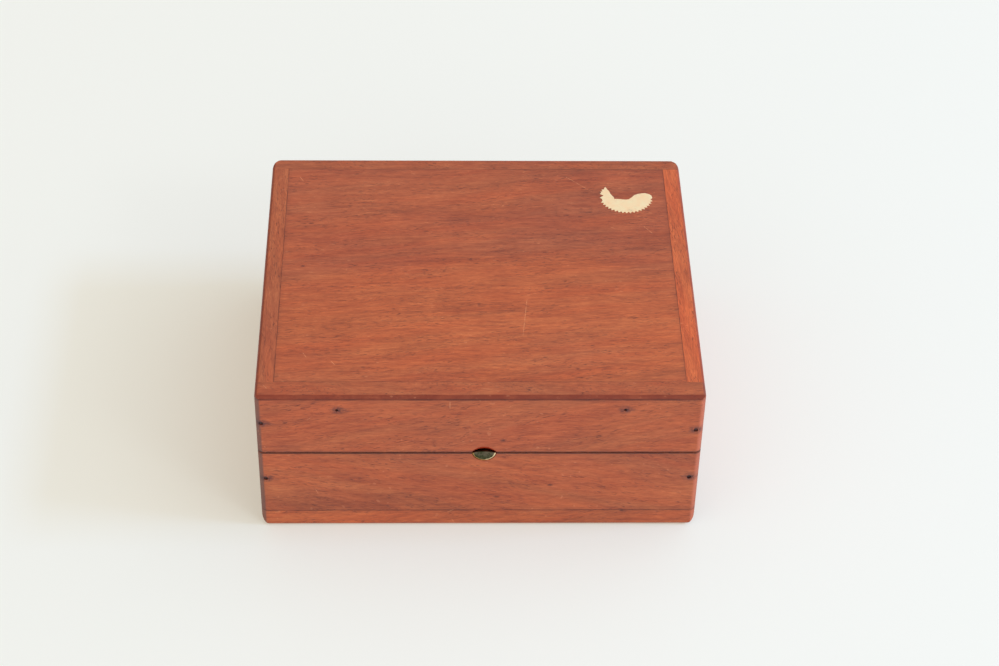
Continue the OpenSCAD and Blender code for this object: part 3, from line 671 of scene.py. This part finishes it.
def felt_pad(node, step=1.6 * MM):
    """A sheet of felt in the node's box: a closed grid with a soft uneven nap and pressed edges."""
    low, high = (Vector(c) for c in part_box(node))
    counts = [max(2, round((high[a] - low[a]) / step)) for a in (0, 1)]
    thick = high.z - low.z
    bm = bmesh.new()
    layers = []
    for up in (0, 1):
        rows = []
        for i in range(counts[0] + 1):
            row = []
            for j in range(counts[1] + 1):
                x = low.x + (high.x - low.x) * i / counts[0]
                y = low.y + (high.y - low.y) * j / counts[1]
                edge = min(x - low.x, high.x - x, y - low.y, high.y - y)
                pressed = 0.30 * max(0.0, 1 - edge / (1.5 * step))
                nap = 0.5 + 0.5 * noise.noise(Vector((x, y, up * 0.1)) * 900)
                swell = 0.5 + 0.5 * noise.noise(Vector((x, y, up * 0.1)) * 60)
                sink = thick * min(0.45, pressed + 0.07 * nap + 0.10 * swell)
                z = high.z - sink if up else low.z + sink
                row.append(bm.verts.new((x, y, z)))
            rows.append(row)
        layers.append(rows)
    for up, rows in enumerate(layers):
        for i in range(counts[0]):
            for j in range(counts[1]):
                quad = [rows[i][j], rows[i + 1][j], rows[i + 1][j + 1], rows[i][j + 1]]
                bm.faces.new(quad if up else quad[::-1])
    under, over = layers
    rim = ([(i, 0) for i in range(counts[0])] + [(counts[0], j) for j in range(counts[1])]
           + [(i, counts[1]) for i in range(counts[0], 0, -1)] + [(0, j) for j in range(counts[1], 0, -1)])
    for (i, j), (k, l) in zip(rim, rim[1:] + rim[:1]):
        bm.faces.new((under[i][j], under[k][l], over[k][l], over[i][j]))
    return linked(node + "_pad", bm)


# ---------------------------------------------------------------- camera, floor and light

AIM = (0.03752 * 0.15, FRONT, 0.5974 * 0.15)
DISTANCE = 0.771
PITCH = 0.73113
ROLL = -0.02483
YAW = 0.03643
LENS_MM = 86.08
SENSOR_MM = 36


# Brightness of the room: plain, and what is added towards +X and +Y
ROOM_BASE = (0.935, 0.905, 0.87)
ROOM_RIGHT = (0.30, 0.36, 0.44)
ROOM_BACK = (-0.36, -0.36, -0.36)
# The dim figure behind the camera: its direction, and the cosines where its edge and its core begin
FIGURE_WAY = (0, -0.67, 0.74)
FIGURE_EDGE = 0.86
FIGURE_CORE = 0.98
FIGURE_COLOUR = (0.25, 0.24, 0.22, 1)
FLOOR_GLOW = (0.975, 0.965, 0.75, 1)
FLOOR_GLOW_STRENGTH = 0.312
LAMP_TARGET = (0, 0, 30 * MM)


def add_camera():
    """The camera of the reference view: aimed at AIM from DISTANCE, turned by the three angles."""
    ahead = Vector((math.sin(YAW) * math.cos(PITCH), math.cos(YAW) * math.cos(PITCH), -math.sin(PITCH)))
    level = Vector((math.cos(YAW), -math.sin(YAW), 0))
    down = ahead.cross(level)
    right = math.cos(ROLL) * level + math.sin(ROLL) * down
    up = math.sin(ROLL) * level - math.cos(ROLL) * down
    place = Vector(AIM) - DISTANCE * ahead
    data = bpy.data.cameras.new("Camera")
    data.lens = LENS_MM
    data.sensor_width = SENSOR_MM
    data.dof.use_dof = False
    camera = bpy.data.objects.new("Camera", data)
    camera.matrix_world = Matrix((
        (right.x, up.x, -ahead.x, place.x),
        (right.y, up.y, -ahead.y, place.y),
        (right.z, up.z, -ahead.z, place.z),
        (0, 0, 0, 1)))
    bpy.context.scene.collection.objects.link(camera)
    bpy.context.scene.camera = camera


def add_floor():
    """A wide pale sheet, faintly lit from below as on a light table, so that shadows stay soft."""
    bm = bmesh.new()
    bmesh.ops.create_grid(bm, x_segments=8, y_segments=8, size=4.0)
    mesh = bpy.data.meshes.new("Floor")
    bm.to_mesh(mesh)
    bm.free()
    floor = bpy.data.objects.new("Floor", mesh)
    bpy.context.scene.collection.objects.link(floor)
    g = Graph("Floor paper")
    tooth = g.noise(g.point, 600, 2)
    shade = g.mix(g.noise(g.point, 3, 2), (0.61, 0.61, 0.61, 1), (0.63, 0.63, 0.63, 1))
    floor.data.materials.append(g.finish(Base_Color=shade, Roughness=0.9, Specular_IOR_Level=0.1,
                                         Emission_Color=FLOOR_GLOW, Emission_Strength=FLOOR_GLOW_STRENGTH,
                                         Normal=g.bump(tooth, 0.02 * MM, 0.3)))


def add_window(name, place, size, watts, colour):
    """A soft rectangular light at place that faces the case."""
    data = bpy.data.lights.new(name, "AREA")
    data.shape = "RECTANGLE"
    data.size, data.size_y = size
    data.energy = watts
    data.color = colour
    lamp = bpy.data.objects.new(name, data)
    lamp.location = place
    lamp.rotation_euler = (Vector(LAMP_TARGET) - Vector(place)).to_track_quat("-Z", "Y").to_euler()
    bpy.context.scene.collection.objects.link(lamp)


def add_room():
    """A pale room, brighter towards its right and front, with the dim figure of someone behind the camera."""
    world = bpy.data.worlds.new("Room")
    world.use_nodes = True
    tree = world.node_tree
    tree.nodes.clear()

    def add(kind, operation=None, *values):
        made = tree.nodes.new(kind)
        if operation:
            made.operation = operation
        for socket, value in zip(made.inputs, values):
            if isinstance(value, bpy.types.NodeSocket):
                tree.links.new(value, socket)
            else:
                socket.default_value = value
        return made

    way = add("ShaderNodeTexCoord").outputs["Generated"]
    split = add("ShaderNodeSeparateXYZ", None, way)
    colour = ROOM_BASE
    for share, gain in ((split.outputs[0], ROOM_RIGHT), (split.outputs[1], ROOM_BACK)):
        spread = add("ShaderNodeCombineXYZ", None, share, share, share).outputs[0]
        colour = add("ShaderNodeVectorMath", "MULTIPLY_ADD", spread, gain, colour).outputs[0]
    toward = add("ShaderNodeVectorMath", "DOT_PRODUCT", way, Vector(FIGURE_WAY).normalized())
    share = add("ShaderNodeMapRange")
    share.interpolation_type = "SMOOTHSTEP"
    share.inputs["From Min"].default_value = FIGURE_EDGE
    share.inputs["From Max"].default_value = FIGURE_CORE
    tree.links.new(toward.outputs["Value"], share.inputs["Value"])
    shade = add("ShaderNodeMix")
    shade.data_type = "RGBA"
    tree.links.new(share.outputs[0], shade.inputs[0])
    tree.links.new(colour, shade.inputs[6])
    shade.inputs[7].default_value = FIGURE_COLOUR
    back = add("ShaderNodeBackground")
    tree.links.new(shade.outputs[2], back.inputs["Color"])
    out = add("ShaderNodeOutputWorld")
    tree.links.new(back.outputs[0], out.inputs[0])
    bpy.context.scene.world = world


# ---------------------------------------------------------------- the scene

add_camera()
add_floor()
add_room()
add_window("Window", place=(1.57, -0.11, 1.23), size=(0.52, 0.22), watts=15.9, colour=(0.36, 0.615, 1.0))
add_window("Side window", place=(1.15, -1.15, 1.13), size=(0.35, 0.35), watts=2.5, colour=(0.85, 0.97, 1.0))
bpy.context.scene.view_settings.view_transform = "Standard"

for node, finish in board_finishes().items():
    adopt(softened(node, BOARD_EASE), node, finish)

RACK = rack_wood()
for node in ("slot_rack_front", "slot_rack_back", "liner_left", "liner_right"):
    adopt(softened(node, RACK_EASE), node, RACK)

BRASS = brass()
STEEL = spring_steel()
IRON = iron()
FINE_EASE = {"brass": (BRASS, BRASS_EASE), "spring_steel": (STEEL, STEEL_EASE), "iron": (IRON, IRON_EASE)}
for node, slot in SLOT_OF.items():
    if slot in FINE_EASE and node not in ("catch_button", "latch_spring"):
        finish, ease = FINE_EASE[slot]
        adopt(softened(node, ease), node, finish)
bending_spring(STEEL)
adopt(softened("catch_button", BUTTON_EASE), "catch_button", button_brass())
adopt(softened("paper_label", PAPER_EASE), "paper_label", paper())
FELT = felt()
for node in ("floor_felt", "lid_felt"):
    adopt(felt_pad(node), node, FELT)
